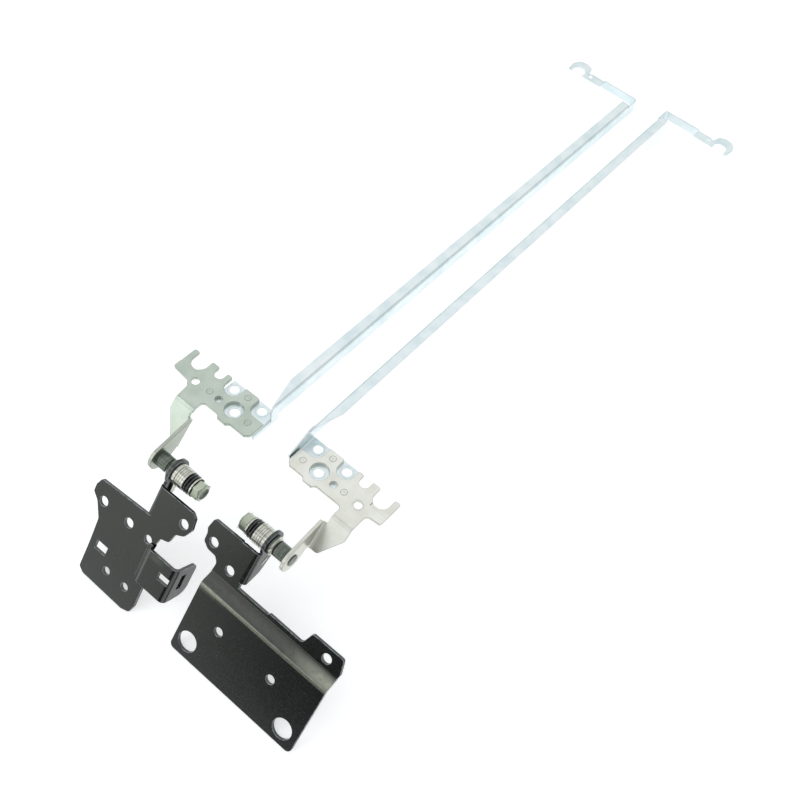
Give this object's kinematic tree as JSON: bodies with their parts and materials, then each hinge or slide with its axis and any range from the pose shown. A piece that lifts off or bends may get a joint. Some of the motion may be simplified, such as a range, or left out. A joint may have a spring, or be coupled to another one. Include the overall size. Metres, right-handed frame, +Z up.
{
  "type": "laptop hinge pair",
  "caption": "Left and right laptop lid hinges: a base bracket, a friction clutch on one shaft, a slotted lid arm and a long folded lid rail each.",
  "frame": {"origin": "middle of the pair's footprint, on the surface that both hinges lie on", "axes": "+Y along the lid rails, away from the base brackets; +X along the shafts, from the left hinge to the right; +Z up"},
  "size_m": [0.103, 0.2852, 0.0407],
  "materials": {
    "black_steel": "satin black",
    "nickel_plate": "satin",
    "zinc_plate": "satin",
    "bright_steel": "polished",
    "dark_steel": "satin",
    "blued_steel": "gloss blued"
  },
  "bodies": {
    "bases": {"left_base_bracket": "black_steel", "left_stop_washer": "bright_steel", "right_base_bracket": "black_steel", "right_stop_washer": "bright_steel"},
    "left_lid": {"left_lid_arm": "nickel_plate", "left_lid_rail": "zinc_plate", "left_pivot_shaft": "dark_steel", "left_rail_rivet_1": "nickel_plate", "left_rail_rivet_2": "nickel_plate", "left_rail_rivet_3": "nickel_plate", "left_friction_washer_1": "bright_steel", "left_friction_washer_2": "bright_steel", "left_spring_washer_1": "blued_steel", "left_spring_washer_2": "blued_steel", "left_backing_washer": "bright_steel", "left_lock_nut": "nickel_plate"},
    "right_lid": {"right_lid_arm": "nickel_plate", "right_lid_rail": "zinc_plate", "right_pivot_shaft": "dark_steel", "right_rail_rivet_1": "nickel_plate", "right_rail_rivet_2": "nickel_plate", "right_rail_rivet_3": "nickel_plate", "right_friction_washer_1": "bright_steel", "right_friction_washer_2": "bright_steel", "right_spring_washer_1": "blued_steel", "right_spring_washer_2": "blued_steel", "right_backing_washer": "bright_steel", "right_lock_nut": "nickel_plate"}
  },
  "joints": [
    {"name": "left_hinge", "type": "hinge", "parent": "bases", "child": "left_lid", "pos_m": [-0.03569, -0.10393, 0.0336], "axis": [1, 0, 0], "range_deg": [-124.1, 15]},
    {"name": "right_hinge", "type": "hinge", "parent": "bases", "child": "right_lid", "pos_m": [0.01741, -0.10123, 0.03013], "axis": [1, 0, 0], "range_deg": [-124.85, 15]}
  ]
}
